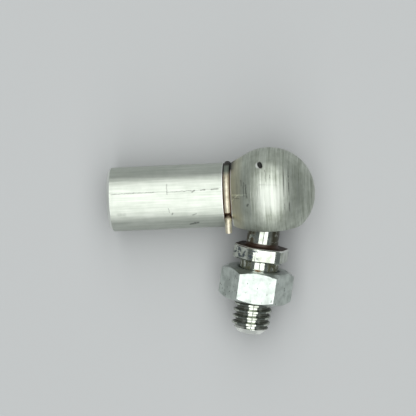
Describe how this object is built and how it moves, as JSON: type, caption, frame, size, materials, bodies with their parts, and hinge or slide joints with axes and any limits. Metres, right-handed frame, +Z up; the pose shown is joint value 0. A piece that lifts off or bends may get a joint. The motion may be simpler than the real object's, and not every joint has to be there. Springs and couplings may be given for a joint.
{
  "type": "angle ball joint",
  "caption": "Angle ball joint: ball stud with hexagon collar and nut, held in a turned socket housing by a wire clip; the housing's shank is tapped for a rod.",
  "frame": {"origin": "middle of the base of the box round the joint as it lies at rest", "axes": "+Z up from the surface it lies on, the shank points to -X and the stud to -Y"},
  "size_m": [0.0324, 0.0292, 0.0142],
  "materials": {
    "housing_steel": "satin, turned, zinc plated",
    "spring_wire": "drawn wire, bright",
    "stud_steel": "bright, zinc plated",
    "nut_steel": "bright, zinc plated"
  },
  "bodies": {
    "housing": {"socket_housing": "housing_steel", "retaining_clip": "spring_wire"},
    "stud": {"ball_stud": "stud_steel"},
    "nut": {"hex_nut": "nut_steel"}
  },
  "joints": [
    {"name": "ball_tilt", "type": "hinge", "parent": "housing", "child": "stud", "pos_m": [0.0091, 0.00749, 0.0071], "axis": [-0.083, -0.2756, 0.9577], "range_deg": [-4.3, 26.6]},
    {"name": "nut_travel", "type": "slide", "parent": "stud", "child": "nut", "axis": [-0.1808, -0.9753, -0.1266], "range_m": [-0.00143, 0.01015]}
  ]
}
